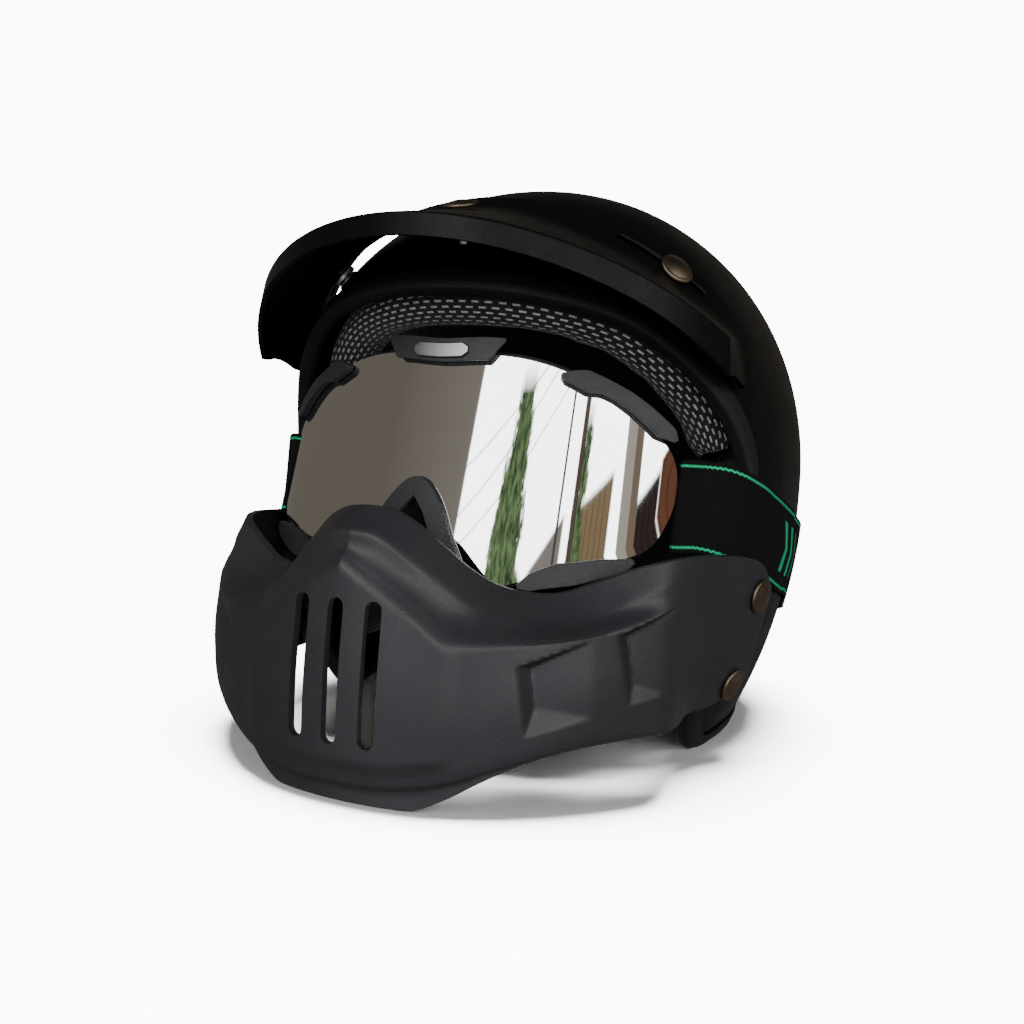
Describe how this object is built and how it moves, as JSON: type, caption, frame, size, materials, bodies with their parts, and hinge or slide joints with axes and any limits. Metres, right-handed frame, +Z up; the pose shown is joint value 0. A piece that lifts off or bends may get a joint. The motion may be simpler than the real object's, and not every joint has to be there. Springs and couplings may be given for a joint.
{
  "type": "open face motorcycle helmet",
  "caption": "Open face motorcycle helmet with a detachable peak and a detachable slotted face mask on press studs, and mirrored goggles on an elastic strap.",
  "frame": {"origin": "middle of the helmet's box, on the surface that it stands on", "axes": "+Z up, -Y the way the wearer looks, +X the wearer's left"},
  "size_m": [0.2494, 0.3328, 0.2551],
  "materials": {
    "matt_black_shell": "fine matt black paint",
    "matt_charcoal": "soft matt charcoal",
    "black_rubber": "soft satin rubber",
    "dark_foam": "moulded bead foam",
    "black_fabric": "3-D mesh fabric with small pale dashes",
    "face_foam": "open-cell foam",
    "snap_bronze": "antique bronze plating",
    "plated_steel": "plated steel",
    "mirror_lens": "silver mirror coating",
    "goggle_plastic": "matt moulded plastic",
    "silver_plate": "pale silver plate",
    "elastic_strap": "woven elastic with thin green stripes",
    "black_webbing": "woven webbing",
    "buckle_plastic": "moulded plastic"
  },
  "bodies": {
    "shell": {"outer_shell": "matt_black_shell", "edge_trim": "black_rubber", "eps_liner": "dark_foam", "comfort_liner": "black_fabric", "brow_roll": "black_fabric", "cheek_pad_left": "black_fabric", "cheek_pad_right": "black_fabric", "neck_roll": "black_fabric", "peak_stud_centre": "plated_steel", "peak_stud_left": "plated_steel", "peak_stud_right": "plated_steel", "mask_stud_upper_left": "plated_steel", "mask_stud_lower_left": "plated_steel", "mask_stud_upper_right": "plated_steel", "mask_stud_lower_right": "plated_steel", "chin_anchor_left": "plated_steel", "chin_anchor_right": "plated_steel", "lever_pin": "plated_steel", "lever_spring": "plated_steel", "strap_slider_left": "goggle_plastic", "strap_slider_right": "goggle_plastic", "goggle_strap_rear": "elastic_strap", "chin_strap_left": "black_webbing", "buckle_body": "buckle_plastic"},
    "peak": {"peak_visor": "matt_black_shell", "peak_cap_centre": "snap_bronze", "peak_cap_left": "snap_bronze", "peak_cap_right": "snap_bronze", "peak_socket_centre": "plated_steel", "peak_socket_left": "plated_steel", "peak_socket_right": "plated_steel"},
    "mask": {"face_mask": "matt_charcoal", "mask_cap_upper_left": "snap_bronze", "mask_cap_lower_left": "snap_bronze", "mask_cap_upper_right": "snap_bronze", "mask_cap_lower_right": "snap_bronze", "mask_socket_upper_left": "plated_steel", "mask_socket_lower_left": "plated_steel", "mask_socket_upper_right": "plated_steel", "mask_socket_lower_right": "plated_steel"},
    "goggles": {"goggle_frame": "goggle_plastic", "goggle_lens": "mirror_lens", "goggle_foam": "face_foam", "lens_clip_top": "goggle_plastic", "badge_plate": "silver_plate", "nose_cover": "goggle_plastic", "lens_clip_upper_left": "goggle_plastic", "lens_clip_upper_right": "goggle_plastic", "lens_clip_lower_left": "goggle_plastic", "lens_clip_lower_right": "goggle_plastic", "outrigger_left": "goggle_plastic", "outrigger_right": "goggle_plastic", "goggle_strap_left": "elastic_strap", "goggle_strap_right": "elastic_strap"},
    "lever": {"buckle_lever": "buckle_plastic"},
    "tongue": {"buckle_tongue": "plated_steel", "chin_strap_right": "black_webbing"}
  },
  "joints": [
    {"name": "peak_release", "type": "slide", "parent": "shell", "child": "peak", "axis": [0, -0.64, 0.7684], "range_m": [0, 0.05], "deforming": ["peak_socket_centre", "peak_socket_left", "peak_socket_right"]},
    {"name": "mask_release", "type": "slide", "parent": "shell", "child": "mask", "axis": [0, -1, 0], "range_m": [0, 0.08], "deforming": ["mask_socket_upper_left", "mask_socket_lower_left", "mask_socket_upper_right", "mask_socket_lower_right"]},
    {"name": "goggle_pull", "type": "slide", "parent": "shell", "child": "goggles", "axis": [0, -0.8387, 0.5446], "range_m": [0, 0.018], "deforming": ["goggle_strap_left", "goggle_strap_right"]},
    {"name": "buckle_lever_lift", "type": "hinge", "parent": "shell", "child": "lever", "pos_m": [0.042, 0.02598, 0.0124], "axis": [0, 1, 0], "range_deg": [0, 38]},
    {"name": "buckle_tongue_slide", "type": "slide", "parent": "shell", "child": "tongue", "axis": [-1, 0, 0], "range_m": [0, 0.03], "deforming": ["chin_strap_right"]}
  ]
}
